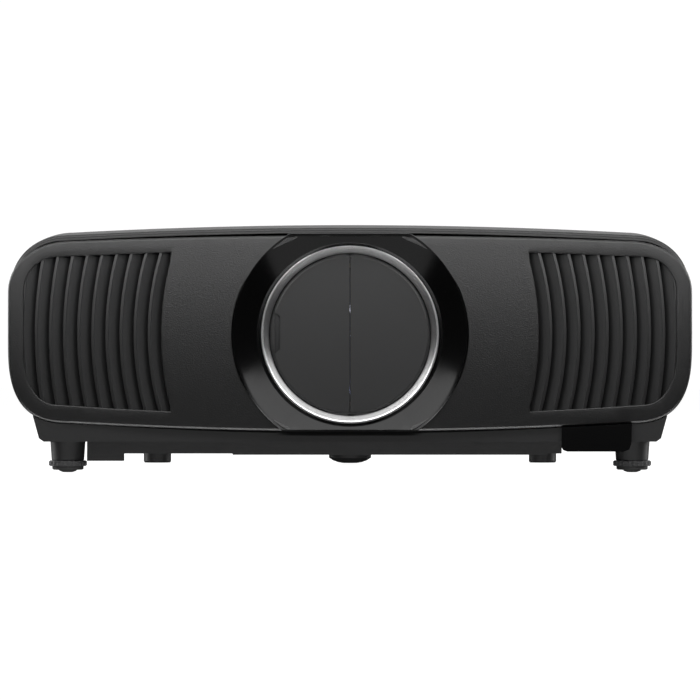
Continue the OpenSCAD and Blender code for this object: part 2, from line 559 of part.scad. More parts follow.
front_bezel();
top_cover();
lower_case();
rear_panel();
base_pan();
left_grille();
right_grille();
lens_surround();
trim_ring();
ir_window();
rear_feet();
front_foot_sockets();
case_screws();
foot_pad_left();
foot_pad_right();
foot_knob_left();
foot_knob_right();
shutter_frame();
shutter_left();
shutter_right();
shutter_pinion();
drive_motors();
lens_mount_frame();
v_shift_plate();
h_shift_plate();
lens_barrel();
lens_cell();
front_glass();
rear_glass();
focus_ring();
zoom_ring();
focus_pinion();
zoom_pinion();
lens_motors();
v_shift_screw();
h_shift_screw();
h_shift_motor();
prism_block();
optics_base();
relay_lenses();
laser_module();
phosphor_wheel();
heatsink();
fan_frames();
intake_rotor();
exhaust_rotor();
power_board();
main_board();
rear_sockets();
ac_inlet();
control_panel();
power_button();
menu_button();
back_button();
enter_button();
up_button();
down_button();
left_button();
right_button();
filter_drawer();
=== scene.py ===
import bpy, bmesh, math, json
import numpy as np
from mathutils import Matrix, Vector, geometry


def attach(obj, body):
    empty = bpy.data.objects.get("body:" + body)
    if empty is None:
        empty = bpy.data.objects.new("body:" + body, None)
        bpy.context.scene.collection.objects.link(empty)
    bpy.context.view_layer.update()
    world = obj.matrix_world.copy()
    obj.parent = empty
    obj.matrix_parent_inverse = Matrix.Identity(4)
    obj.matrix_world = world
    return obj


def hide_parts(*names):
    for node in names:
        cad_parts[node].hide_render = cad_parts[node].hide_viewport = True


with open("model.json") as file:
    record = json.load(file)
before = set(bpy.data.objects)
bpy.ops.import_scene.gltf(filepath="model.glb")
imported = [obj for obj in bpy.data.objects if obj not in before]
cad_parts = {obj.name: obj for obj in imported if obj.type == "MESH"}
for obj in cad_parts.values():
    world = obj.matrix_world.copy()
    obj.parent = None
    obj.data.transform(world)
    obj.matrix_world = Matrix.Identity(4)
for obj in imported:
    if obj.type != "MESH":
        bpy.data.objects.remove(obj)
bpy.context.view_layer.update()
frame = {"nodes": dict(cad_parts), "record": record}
scene = bpy.context.scene
MM = 0.001
LZ = 105.4                       # height of the lens axis, mm

# ------------------------------------------------------------------ materials
def new_mat(name):
    m = bpy.data.materials.new(name)
    m.use_nodes = True
    nt = m.node_tree
    b = nt.nodes["Principled BSDF"]
    return m, nt, b

def link(nt, a, b):
    nt.links.new(a, b)

def ramp(nt, fac, stops):
    r = nt.nodes.new("ShaderNodeValToRGB")
    while len(r.color_ramp.elements) < len(stops):
        r.color_ramp.elements.new(0.5)
    for e, (p, c) in zip(r.color_ramp.elements, stops):
        e.position = p
        e.color = (c[0], c[1], c[2], 1) if len(c) == 3 else c
    link(nt, fac, r.inputs["Fac"])
    return r.outputs["Color"]

def noise(nt, coord, scale, detail=3, rough=0.55, stretch=None):
    if stretch:
        mp = nt.nodes.new("ShaderNodeMapping")
        mp.inputs["Scale"].default_value = stretch
        link(nt, coord, mp.inputs["Vector"])
        coord = mp.outputs["Vector"]
    n = nt.nodes.new("ShaderNodeTexNoise")
    n.inputs["Scale"].default_value = scale
    n.inputs["Detail"].default_value = detail
    n.inputs["Roughness"].default_value = rough
    link(nt, coord, n.inputs["Vector"])
    return n.outputs["Fac"]

def voronoi(nt, coord, scale, smooth=0.6, feature="SMOOTH_F1", stretch=None):
    if stretch:
        mp = nt.nodes.new("ShaderNodeMapping")
        mp.inputs["Scale"].default_value = stretch
        link(nt, coord, mp.inputs["Vector"])
        coord = mp.outputs["Vector"]
    n = nt.nodes.new("ShaderNodeTexVoronoi")
    n.feature = feature
    n.inputs["Scale"].default_value = scale
    if feature == "SMOOTH_F1":
        n.inputs["Smoothness"].default_value = smooth
    link(nt, coord, n.inputs["Vector"])
    return n.outputs["Distance"]

def maths(nt, op, a, b, clamp=False):
    n = nt.nodes.new("ShaderNodeMath")
    n.operation = op
    n.use_clamp = clamp
    for i, v in enumerate((a, b)):
        if isinstance(v, (int, float)):
            n.inputs[i].default_value = v
        else:
            link(nt, v, n.inputs[i])
    return n.outputs[0]

def bump(nt, b, h, strength, dist):
    n = nt.nodes.new("ShaderNodeBump")
    n.inputs["Strength"].default_value = strength
    n.inputs["Distance"].default_value = dist
    link(nt, h, n.inputs["Height"])
    link(nt, n.outputs["Normal"], b.inputs["Normal"])

def coords(nt):
    return nt.nodes.new("ShaderNodeTexCoord").outputs["Object"]

def plastic(name, col, rough, spec, grain=0.35, gscale=620, gdist=0.00025, mottle=0.12, stretch=(1, 1, 1.5), coat=0.0):
    """Moulded plastic: a pebbled leather-like grain, a little mottling, roughness that follows the grain."""
    m, nt, b = new_mat(name)
    c = coords(nt)
    v = voronoi(nt, c, gscale, 0.8, stretch=stretch)
    n = noise(nt, c, gscale * 1.7, 4, 0.6, stretch=stretch)
    h = maths(nt, "ADD", maths(nt, "MULTIPLY", v, 0.75), maths(nt, "MULTIPLY", n, 0.55))
    if grain > 0:
        bump(nt, b, h, grain, gdist)
    big = noise(nt, c, 26, 3)
    mix = maths(nt, "ADD", maths(nt, "MULTIPLY", h, 0.6), maths(nt, "MULTIPLY", big, 0.4))
    lo = [x * (1 - mottle) for x in col]
    hi = [x * (1 + mottle) for x in col]
    link(nt, ramp(nt, mix, [(0.25, lo), (0.75, hi)]), b.inputs["Base Color"])
    r = maths(nt, "ADD", maths(nt, "MULTIPLY", h, 0.10), rough - 0.05, True)
    link(nt, r, b.inputs["Roughness"])
    b.inputs["Specular IOR Level"].default_value = spec
    b.inputs["IOR"].default_value = 1.5
    if coat:
        b.inputs["Coat Weight"].default_value = coat
        b.inputs["Coat Roughness"].default_value = 0.06
    return m

def metal(name, col, rough, aniso=0.0, brush=None, bstr=0.06, bscale=900):
    m, nt, b = new_mat(name)
    c = coords(nt)
    n = noise(nt, c, bscale, 3, 0.6, stretch=brush or (1, 1, 1))
    s = noise(nt, c, 35, 3)
    lo = [x * 0.9 for x in col]
    hi = [min(1, x * 1.06) for x in col]
    link(nt, ramp(nt, maths(nt, "ADD", maths(nt, "MULTIPLY", n, 0.5), maths(nt, "MULTIPLY", s, 0.5)), [(0.3, lo), (0.7, hi)]), b.inputs["Base Color"])
    link(nt, maths(nt, "ADD", maths(nt, "MULTIPLY", n, 0.12), rough - 0.06, True), b.inputs["Roughness"])
    b.inputs["Metallic"].default_value = 1.0
    if aniso:
        b.inputs["Anisotropic"].default_value = aniso
    bump(nt, b, n, bstr, 0.00008)
    return m

def glass(name, col, rough=0.03):
    m, nt, b = new_mat(name)
    c = coords(nt)
    n = noise(nt, c, 60, 2)
    link(nt, ramp(nt, n, [(0.3, [x * 0.94 for x in col]), (0.7, col)]), b.inputs["Base Color"])
    link(nt, maths(nt, "ADD", maths(nt, "MULTIPLY", n, 0.02), rough, True), b.inputs["Roughness"])
    b.inputs["IOR"].default_value = 1.6
    b.inputs["Transmission Weight"].default_value = 0.9
    b.inputs["Coat Weight"].default_value = 0.5
    b.inputs["Coat Tint"].default_value = (0.55, 0.6, 1.0, 1)
    return m

def board_mat():
    m, nt, b = new_mat("board")
    c = coords(nt)
    v = voronoi(nt, c, 260, feature="F1", stretch=(1, 1, 0.2))
    n = noise(nt, c, 400, 3)
    link(nt, ramp(nt, v, [(0.05, (0.45, 0.36, 0.12)), (0.16, (0.015, 0.09, 0.045)), (0.5, (0.01, 0.065, 0.03)), (0.8, (0.02, 0.11, 0.055))]), b.inputs["Base Color"])
    link(nt, maths(nt, "ADD", maths(nt, "MULTIPLY", n, 0.2), 0.25, True), b.inputs["Roughness"])
    bump(nt, b, n, 0.1, 0.0001)
    return m

MAT = {
    "case_plastic": plastic("case_plastic", (0.0058, 0.0058, 0.0060), 0.41, 0.60, 0.55, 900, 0.00026, 0.18),
    "cover_plastic": plastic("cover_plastic", (0.0070, 0.0070, 0.0072), 0.50, 0.40, 0.35, 700, 0.00020, 0.12),
    "lower_plastic": plastic("lower_plastic", (0.0150, 0.0150, 0.0153), 0.50, 0.40, 0.20, 800, 0.00012, 0.08),
    "pan_plastic": plastic("pan_plastic", (0.0200, 0.0200, 0.0204), 0.52, 0.40, 0.30, 700, 0.00016, 0.10),
    "grille_plastic": plastic("grille_plastic", (0.0105, 0.0105, 0.0108), 0.40, 0.60, 0.06, 1100, 0.00006, 0.10),
    "gloss_black": plastic("gloss_black", (0.0030, 0.0030, 0.0031), 0.14, 0.52, 0.010, 1200, 0.00003, 0.10),
    "satin_chrome": metal("satin_chrome", (0.86, 0.86, 0.86), 0.30, 0.0, None, 0.03, 1400),
    "foot_rubber": plastic("foot_rubber", (0.0300, 0.0300, 0.0300), 0.70, 0.30, 0.50, 900, 0.00020, 0.20),
    "knob_plastic": plastic("knob_plastic", (0.040, 0.040, 0.041), 0.50, 0.40, 0.25, 900, 0.00012, 0.12),
    "inner_plastic": plastic("inner_plastic", (0.0150, 0.0150, 0.0155), 0.60, 0.35, 0.30, 700, 0.00015, 0.15),
    "shutter_coat": plastic("shutter_coat", (0.0110, 0.0110, 0.0113), 0.40, 0.75, 0.06, 1300, 0.00005, 0.08, stretch=(1, 1, 1)),
    "gear_plastic": plastic("gear_plastic", (0.42, 0.40, 0.34), 0.45, 0.45, 0.15, 900, 0.00008, 0.06),
    "steel": metal("steel", (0.50, 0.51, 0.53), 0.34),
    "die_cast": metal("die_cast", (0.36, 0.37, 0.38), 0.55, bstr=0.35, bscale=500),
    "optical_glass": glass("optical_glass", (0.80, 0.88, 0.92)),
    "copper_alloy": metal("copper_alloy", (0.46, 0.29, 0.19), 0.42, bstr=0.2, bscale=600),
    "phosphor": plastic("phosphor", (0.62, 0.50, 0.12), 0.60, 0.40, 0.20, 1500, 0.00005, 0.10),
    "fin_aluminium": metal("fin_aluminium", (0.62, 0.63, 0.64), 0.32, brush=(1, 8, 1)),
    "board": board_mat(),
    "button_plastic": plastic("button_plastic", (0.030, 0.030, 0.031), 0.45, 0.45, 0.12, 1200, 0.00008, 0.08),
}

# ------------------------------------------------------------------ mesh tools
def finish_mesh(o, mat, angle=32):
    me = o.data
    me.materials.clear()
    me.materials.append(mat)
    for p in me.polygons:
        p.use_smooth = True
        p.material_index = 0
    me.set_sharp_from_angle(angle=math.radians(angle))

def raw(name, verts, faces, merge=1e-4):
    me = bpy.data.meshes.new(name)
    me.from_pydata([(float(x) * MM, float(y) * MM, float(z) * MM) for x, y, z in verts], [], [tuple(int(i) for i in f) for f in faces])
    bm = bmesh.new()
    bm.from_mesh(me)
    bmesh.ops.remove_doubles(bm, verts=bm.verts, dist=merge * MM)
    bmesh.ops.dissolve_degenerate(bm, edges=bm.edges, dist=1e-8)
    bmesh.ops.recalc_face_normals(bm, faces=bm.faces)
    bm.to_mesh(me)
    bm.free()
    o = bpy.data.objects.new(name, me)
    scene.collection.objects.link(o)
    return o

def place(o, mat, body="case", rep=(), angle=32):
    finish_mesh(o, mat, angle)
    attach(o, body)
    if rep:
        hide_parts(*rep)
    return o

def boolean(o, cutters, op="DIFFERENCE"):
    for c in cutters:
        m = o.modifiers.new("cut", "BOOLEAN")
        m.object = c
        m.solver = "EXACT"
        m.operation = op
    dg = bpy.context.evaluated_depsgraph_get()
    me = bpy.data.meshes.new_from_object(o.evaluated_get(dg))
    o.modifiers.clear()
    o.data = me
    for c in cutters:
        bpy.data.objects.remove(c)
    bm = bmesh.new()
    bm.from_mesh(o.data)
    bmesh.ops.remove_doubles(bm, verts=bm.verts, dist=2e-7)
    bmesh.ops.dissolve_degenerate(bm, edges=bm.edges, dist=1e-8)
    bm.to_mesh(o.data)
    bm.free()
    return o

def grid_faces(rows, cols, wrap_c=False, wrap_r=False, base=0):
    f = []
    for i in range(rows if wrap_r else rows - 1):
        for j in range(cols if wrap_c else cols - 1):
            a = base + i * cols + j
            b = base + i * cols + (j + 1) % cols
            c = base + ((i + 1) % rows) * cols + (j + 1) % cols
            d = base + ((i + 1) % rows) * cols + j
            f.append((a, b, c, d))
    return f

def tube(name, loops):
    """A closed solid from closed loops of equal count; the two end loops are capped."""
    n = len(loops[0])
    v = [p for l in loops for p in l]
    f = grid_faces(len(loops), n, wrap_c=True)
    f.append(tuple(range(n)))
    f.append(tuple(range((len(loops) - 1) * n, len(loops) * n)))
    return raw(name, v, f)

def revolve(name, prof, cx=0.0, cz=LZ, n=192, axis="Y", cy=0.0, radial=None):
    """A closed profile of (radius, along) turned about an axis; radius 0 points collapse."""
    v = []
    for k in range(n):
        a = 2 * math.pi * k / n
        for r, t in prof:
            rr = r if radial is None else radial(r, t, a)
            if axis == "Y":
                v.append((cx + rr * math.cos(a), t, cz + rr * math.sin(a)))
            elif axis == "Z":
                v.append((cx + rr * math.cos(a), cy + rr * math.sin(a), t))
            else:
                v.append((t, cy + rr * math.cos(a), cz + rr * math.sin(a)))
    return raw(name, v, grid_faces(n, len(prof), wrap_c=True, wrap_r=True))

def arc_pts(cx, cy, r, a0, a1, n=6):
    return [(cx + r * math.cos(math.radians(a0 + (a1 - a0) * i / n)), cy + r * math.sin(math.radians(a0 + (a1 - a0) * i / n))) for i in range(n + 1)]

def rrect(x0, x1, y0, y1, r, n=8):
    return (arc_pts(x1 - r, y1 - r, r, 0, 90, n) + arc_pts(x0 + r, y1 - r, r, 90, 180, n) +
            arc_pts(x0 + r, y0 + r, r, 180, 270, n) + arc_pts(x1 - r, y0 + r, r, 270, 360, n))

def inset(loop, d):
    """Moves a closed 2D loop inwards by d, whichever way it winds, with mitred corners."""
    p = np.array(loop, float)
    q = np.roll(p, -1, 0) - p
    area = 0.5 * np.sum(p[:, 0] * np.roll(p[:, 1], -1) - np.roll(p[:, 0], -1) * p[:, 1])
    L = np.maximum(np.linalg.norm(q, axis=1), 1e-9)
    q = q / L[:, None]
    nrm = np.stack([-q[:, 1], q[:, 0]], 1) * (1 if area > 0 else -1)
    prev = np.roll(nrm, 1, 0)
    m = nrm + prev
    m /= np.maximum(np.linalg.norm(m, axis=1), 1e-9)[:, None]
    k = 1 / np.maximum(np.sum(m * nrm, 1), 0.35)
    return p + m * (d * k)[:, None]

def resample(loop, step, keep_angle=20):
    """Points every 'step' along a closed loop, keeping its sharp corners."""
    p = np.array(loop, float)
    d = np.linalg.norm(np.roll(p, -1, 0) - p, axis=1)
    p = p[d > 1e-6]
    n = len(p)
    a = p - np.roll(p, 1, 0)
    b = np.roll(p, -1, 0) - p
    ang = np.degrees(np.abs(np.arctan2(a[:, 0] * b[:, 1] - a[:, 1] * b[:, 0], np.sum(a * b, 1))))
    corners = [i for i in range(n) if ang[i] > keep_angle] or [0]
    out = []
    for ci, s in enumerate(corners):
        e = corners[(ci + 1) % len(corners)]
        idx = [s]
        i = s
        while True:
            i = (i + 1) % n
            idx.append(i)
            if i == e:
                break
        seg = p[idx]
        L = np.concatenate([[0], np.cumsum(np.linalg.norm(np.diff(seg, axis=0), axis=1))])
        k = max(2, int(round(L[-1] / step)))
        t = np.linspace(0, L[-1], k + 1)[:-1]
        out += list(zip(np.interp(t, L, seg[:, 0]), np.interp(t, L, seg[:, 1])))
    return np.array(out)

def slab(name, loop, t0, t1, r0=0.6, r1=0.0, plane="XZ", n=4):
    """A plate from a loop: rounded edge r0 at t0, r1 at t1. plane XZ is thick along Y, XY along Z, YZ along X."""
    loops = []
    def put(l, t):
        return [{"XZ": (a, t, b), "XY": (a, b, t), "YZ": (t, a, b)}[plane] for a, b in l]
    s = 1 if t1 > t0 else -1
    for k in range(n + 1):
        a = math.pi / 2 * k / n
        loops.append(put(inset(loop, r0 * (1 - math.sin(a))), t0 + s * r0 * (1 - math.cos(a))))
    if r1 > 0:
        for k in range(n + 1):
            a = math.pi / 2 * k / n
            loops.append(put(inset(loop, r1 * (1 - math.cos(a))), t1 - s * r1 * (1 - math.sin(a))))
    else:
        loops.append(put(inset(loop, 0), t1))
    return tube(name, loops)

# ------------------------------------------------------------------ the case's outlines, as in the design
def sup(cx, cz, rx, rz, n, a0, a1, k):
    out = []
    for i in range(k + 1):
        a = math.radians(a0 + (a1 - a0) * i / k)
        c, s = math.cos(a), math.sin(a)
        out.append((cx + rx * math.copysign(abs(c) ** (2 / n), c), cz + rz * math.copysign(abs(s) ** (2 / n), s)))
    return out

def bezel_half(t=0.0):
    return ([(x, 180.6 - t - 4.1 * (x / 211) ** 2) for x in np.linspace(0, 205, 30)] +
            sup(211, 137.5, 49 - t, 39 - t, 2.1, 89.9, 0, 28) + sup(211, 100, 49 - t, 62 - t, 2.8, 0, -89.9, 40) +
            [(x, 31.9 + t + 6.1 * (x / 211) ** 2) for x in np.linspace(205, 0, 30)])

def both(h):
    return h + [(-x, z) for x, z in reversed(h)]

def vent(t=0.0):
    return ([(136 - t + 0 * i, 167.8 + t) for i in range(1)] +
            sup(222, 138, 26 + t, 26.6 + t, 2, 90, 0, 20) + sup(222, 92, 26 + t, 40 + t, 2.2, 0, -90, 24) +
            [(180, 49.2 - t), (136.5 - t, 47 - t)] +
            [(-80.5 + (224 - t) * math.cos(math.radians(a)), 106 + (224 - t) * math.sin(math.radians(a))) for a in np.linspace(-14, 14, 24)])

def rise(y):
    return 6.4 * (1 - ((y - 10) / 206) ** 2)

def sag(x, z):
    return 6.0 * (abs(x) / 255) ** 2 + 5.0 * ((z - 106) / 75) ** 2

def face_y(x, z):
    return -222.0 + sag(x, z)

def inside(loop, pts):
    """Which points lie in a closed 2D loop."""
    l = np.array(loop, float)
    a, b = l, np.roll(l, -1, 0)
    res = np.zeros(len(pts), bool)
    for (x1, y1), (x2, y2) in zip(a, b):
        c = ((y1 > pts[:, 1]) != (y2 > pts[:, 1]))
        xs = (x2 - x1) * (pts[:, 1] - y1) / ((y2 - y1) if y2 != y1 else 1e-12) + x1
        res ^= c & (pts[:, 0] < xs)
    return res

def fill(loops, step):
    """Triangulates the region inside loops[0] and outside the others, with inner points every 'step'. Returns points, triangles and each loop's first index."""
    pts, edges, starts = [], [], []
    for l in loops:
        s = len(pts)
        starts.append(s)
        pts += [tuple(p) for p in l]
        edges += [(s + i, s + (i + 1) % len(l)) for i in range(len(l))]
    allp = np.array(pts)
    lo, hi = allp.min(0), allp.max(0)
    g = np.array([(x + (0.5 * step if j % 2 else 0), z) for j, z in enumerate(np.arange(lo[1] + step / 2, hi[1], step * 0.87)) for x in np.arange(lo[0] + step / 2, hi[0], step)])
    keep = inside(loops[0], g)
    for l in loops[1:]:
        keep &= ~inside(l, g)
    g = g[keep]
    d = np.min(np.linalg.norm(g[:, None, :] - allp[None, :, :], axis=2), axis=1)
    g = g[d > step * 0.45]
    vs = [Vector(p) for p in pts] + [Vector(p) for p in g]
    ov, oe, of, *_ = geometry.delaunay_2d_cdt(vs, edges, [], 0, 1e-7)
    P = np.array([(v.x, v.y) for v in ov])
    F = np.array([f for f in of if len(f) == 3])
    c = P[F].mean(1)
    ok = inside(loops[0], c)
    for l in loops[1:]:
        ok &= ~inside(l, c)
    return P, F[ok], starts

# ------------------------------------------------------------------ front bezel
def body_pts(rs, t=0.0):
    a_end = -math.degrees(math.asin(min(1, (100 - 47.2) / (62 - t)) ** (2.8 / 2)))
    h = ([(x, 186.6 + rs - t - 5.9 * (x / 218) ** 2) for x in np.linspace(0, 212, 32)] +
         sup(218, 140, 42 - t, 40.7 + rs - t, 2.05, 89.9, 0, 30) + sup(211, 100, 49 - t, 62 - t, 2.8, 0, a_end, 22)[1:])
    return h

def front_bezel():
    L = resample(both(bezel_half()), 2.6, 40)
    VR = resample(vent(0), 2.6, 25)
    VL = np.array([(-x, z) for x, z in VR])[::-1]
    rb, rv, wall = 2.0, 0.8, 2.5
    P, F, st = fill([inset(L, rb), inset(VR, -rv), inset(VL, -rv)], 6.0)
    fy = lambda x, z: face_y(x, z)
    v = [(x, fy(x, z), z) for x, z in P]
    f = [tuple(t) for t in F]
    nP = len(P)
    def ring(loop, dy, absolute=None):
        b = len(v)
        v.extend([(x, (fy(x, z) + dy) if absolute is None else absolute, z) for x, z in loop])
        return list(range(b, b + len(loop)))
    def join(a, b):
        n = len(a)
        for i in range(n):
            f.append((a[i], a[(i + 1) % n], b[(i + 1) % n], b[i]))
    # outside: rounded edge, side wall, rear edge, inner wall
    prev = list(range(st[0], st[0] + len(L)))
    for d, dy in ((1.65, 0.05), (1.35, 0.22), (0.35, 1.20), (0.08, 1.60), (0.0, 2.1)):
        cur = ring(inset(L, d), dy)
        join(prev, cur)
        prev = cur
    for y in (-200.0, -196.4):
        cur = ring(L, 0, y)
        join(prev, cur)
        prev = cur
    cur = ring(inset(L, 0.4), 0, -196.0); join(prev, cur); prev = cur
    cur = ring(inset(L, wall), 0, -196.0); join(prev, cur); prev = cur
    inner_of = {}
    base = len(v)
    iL, iR, iLL = inset(L, wall), VR, VL
    Q = np.array(P)
    Q[st[0]:st[0] + len(L)] = iL
    Q[st[1]:st[1] + len(VR)] = VR
    Q[st[2]:st[2] + len(VL)] = VL
    v.extend([(x, fy(x, z) + wall, z) for x, z in Q])
    f.extend([tuple(base + i for i in t[::-1]) for t in F])
    join(prev, [base + st[0] + i for i in range(len(L))])
    for s, V in ((st[1], VR), (st[2], VL)):
        prev = list(range(s, s + len(V)))
        for k in range(1, 4):
            a = math.pi / 2 * k / 3
            cur = ring(inset(V, -rv * (1 - math.sin(a))), rv * (1 - math.cos(a)))
            join(prev, cur)
            prev = cur
        join(prev, [base + s + i for i in range(len(V))])
    o = raw("front_bezel_b", v, f)
    cut = revolve("cut_b", [(0.01, -240), (90.2, -240), (90.2, -220.4), (70.9, -203.2), (0.01, -203.2)], n=180)
    boolean(o, [cut])
    return place(o, MAT["case_plastic"], rep=("front_bezel",), angle=38)

def top_cover():
    secs = [(-195.6, 3.0), (-195.2, 2.2), (-194.5, 1.6), (-193.4, 1.2), (-188.6, 1.2), (-188.2, 1.5), (-187.8, 2.1), (-187.0, 2.1), (-186.6, 1.3), (-186.3, 0.5), (-185.7, 0.0)]
    secs += [(y, 0.0) for y in np.linspace(-180, 212, 26)] + [(219.0, 0.0), (219.7, 0.3), (220.0, 0.8)]
    loops = []
    for y, t in secs:
        def closed(tt, ti):
            o, i = body_pts(rise(y), tt), body_pts(rise(y), ti)
            o = [(-x, z) for x, z in reversed(o)][:-1] + o
            i = [(-x, z) for x, z in reversed(i)][:-1] + i
            return [(x, y, z) for x, z in o + i[::-1]]
        loops.append(closed(t, 3.6 if y < -194 else 3.2))
    o = tube("top_cover_b", loops)
    c1 = slab("c1", rrect(107.5, 202.5, 99.5, 138.5, 2.0, 4), 240, 275, 0.01, 0, "YZ", 1)
    c2 = slab("c2", rrect(39.5, 140.5, 79.5, 140.5, 2.0, 4), -275, -240, 0.01, 0, "YZ", 1)
    boolean(o, [c1, c2])
    return place(o, MAT["cover_plastic"], rep=("top_cover",), angle=32)

# ------------------------------------------------------------------ louvred grilles
def grille(side):
    lim = np.array(vent(0.5))
    objs = []
    v, f = [], []
    def add_tube(loops):
        b = len(v)
        n = len(loops[0])
        for l in loops:
            v.extend(l)
        f.extend(grid_faces(len(loops), n, wrap_c=True, base=b))
        f.append(tuple(range(b, b + n)))
        f.append(tuple(range(b + (len(loops) - 1) * n, b + len(loops) * n)))
    for i in range(-1, 10):
        x0 = 239.5 - 10.74 * i
        r = 1 / (0.00309 + 0.00150 * i / 8)
        cx, cz = x0 - r, 106
        prof = [(r, 0.7), (r - 0.12, 0.12), (r - 0.5, 0.0), (r - 2.1, 0.0), (r - 2.4, 0.22), (r - 2.5, 0.75), (r - 5.5, 2.2), (r - 8.5, 3.9), (r - 11.3, 5.5), (r - 11.7, 7.2), (r - 2.6, 2.9), (r - 0.3, 2.9), (r, 2.4)]
        aa = np.radians(np.linspace(-24, 24, 481))
        ends = []
        ok = True
        for pr, dy in prof:
            q = np.stack([cx + pr * np.cos(aa), cz + pr * np.sin(aa)], 1)
            w = inside(lim, q)
            if not w.any():
                ok = False
                break
            ends.append((aa[w][0], aa[w][-1]))
        if not ok:
            ends = []
            for pr, dy in prof:
                q = np.stack([cx + pr * np.cos(aa), cz + pr * np.sin(aa)], 1)
                w = inside(lim, q)
                ends.append((aa[w][0], aa[w][-1]) if w.any() else None)
            good = [e for e in ends if e]
            if len(good) < 4:
                continue
            ends = [e or good[0] for e in ends]
        loops = []
        for t in np.linspace(0, 1, 49):
            lp = []
            for (pr, dy), (e0, e1) in zip(prof, ends):
                a = e0 + (e1 - e0) * t
                x, z = cx + pr * math.cos(a), cz + pr * math.sin(a)
                lp.append((side * min(x, 248.4), face_y(x, z) + 1.0 + dy, z))
            loops.append(lp)
        add_tube(loops)
    # surrounding ring
    V = resample(vent(0), 2.6, 25)
    loops = []
    for d, y0 in ((0.6, 3.1), (3.2, 3.1), (3.2, None), (0.6, None)):
        q = inset(V, -d)
        loops.append([(side * x, (face_y(x, z) + y0) if y0 else -202.8, z) for x, z in q])
    b = len(v)
    for l in loops:
        v.extend(l)
    f.extend(grid_faces(4, len(V), wrap_c=True, wrap_r=True, base=b))
    o = raw("grille_b", v, f)
    return place(o, MAT["grille_plastic"], rep=(("right_grille",) if side > 0 else ("left_grille",)), angle=22)

# ------------------------------------------------------------------ lens surround and ring
def lens_surround():
    n = 288
    v = []
    rows = None
    kinks = [math.asin(76.7 / 89.3), math.asin(74.7 / 88.5), -math.asin(73.5 / 89.3), -math.asin(72.1 / 88.5)]
    angs = sorted([2 * math.pi * k / n for k in range(n)] + [q % (2 * math.pi) for k in kinks for q in (k, math.pi - k)])
    n = len(angs)
    for a in angs:
        s, c = math.sin(a), math.cos(a)
        lim_o = 76.7 / s if s > 0.02 else (73.5 / -s if s < -0.02 else 999)
        lim_i = 74.7 / s if s > 0.02 else (72.1 / -s if s < -0.02 else 999)
        Rr, Rc = min(89.3, lim_o), min(88.5, lim_i)
        zc = min(182.1, max(31.9, LZ + 89.3 * s))
        xc = math.sqrt(89.3 ** 2 - (zc - LZ) ** 2)
        depth = 16.6 - sag(xc, zc)
        def cone(r):
            t = (r - 68.3) / 20.2
            return -206.2 - depth * (0.93 * t + 0.07 * t * t)
        yf = -223.3 + sag(Rr * c, LZ + Rr * s)
        yc = max(cone(Rc), yf + 0.5)
        pts = [(68.3, -205.2), (68.35, -206.2)]
        for j in range(1, 9):
            r = 68.35 + (Rc - 68.35) * j / 8
            pts.append((r, max(cone(r), yf + 0.5) if j < 8 else yc))
        for j in (1, 2, 3):
            pts.append((Rc + 0.03 * j, yc + (yf + 0.45 - yc) * j / 3))
        pts += [(Rc + 0.25, yf + 0.1), (Rc + 0.5, yf), (Rr - 0.25, yf), (Rr - 0.07, yf + 0.1), (Rr, yf + 0.35)]
        env = -220.4 + (90.2 - Rr) / 19.3 * 17.2 - 0.9
        yb = max(env, yf + 0.6)
        pts += [(Rr, yb), (70.6, max(-204.6, yb - 30)), (70.5, -203.5), (68.3, -203.5)]
        rows = len(pts)
        v += [(r * c, y, LZ + r * s) for r, y in pts]
    o = raw("lens_surround_b", v, grid_faces(n, rows, wrap_c=True, wrap_r=True))
    return place(o, MAT["gloss_black"], rep=("lens_surround",), angle=17)

def trim_ring():
    p = [(67.9, -203.4), (67.9, -208.3), (67.75, -208.75), (67.4, -209.0), (66.6, -209.05), (66.1, -208.95), (65.7, -208.6)]
    p += [(65.7 - 3.8 * t, -208.6 + 4.3 * t) for t in (0.25, 0.5, 0.75)] + [(61.9, -204.2), (61.85, -203.9), (61.9, -203.4)]
    o = revolve("trim_ring_b", p, n=288)
    return place(o, MAT["satin_chrome"], rep=("trim_ring",), angle=30)

BEZEL = front_bezel()
top_cover()
grille(1)
grille(-1)
SURROUND = lens_surround()
# A thin sheet of matte inner plastic laid on the floor of the shutter's finger notch, duller than the glossy shutter
# coat: painted shade that makes the notch read darker.
place(slab("shutter_notch_painted_shade", [(-53.6, 94.1), (-53.6, 119.1), (-57.4, 122.0), (-57.4, 90.8)], -201.5, -201.3, 0.05, 0, "XZ", 2),
      MAT["inner_plastic"], body="shutter_l")
trim_ring()

# ------------------------------------------------------------------ the pieces kept from the design: material and softened edges
SOFT = {"lower_case": 0.5, "rear_panel": 0.4, "base_pan": 0.5, "ir_window": 0.4, "rear_feet": 0.5, "front_foot_sockets": 0.4,
        "foot_knob_left": 0.3, "foot_knob_right": 0.3, "foot_pad_left": 0.4, "foot_pad_right": 0.4, "shutter_left": 0.4, "shutter_right": 0.4,
        "control_panel": 0.25, "power_button": 0.2, "menu_button": 0.2, "back_button": 0.2, "enter_button": 0.2, "up_button": 0.2,
        "down_button": 0.2, "left_button": 0.2, "right_button": 0.2, "filter_drawer": 0.3, "ac_inlet": 0.25, "rear_sockets": 0.1,
        "fan_frames": 0.3, "heatsink": 0.1, "laser_module": 0.4, "prism_block": 0.4, "lens_barrel": 0.3, "focus_ring": 0.1, "zoom_ring": 0.1}

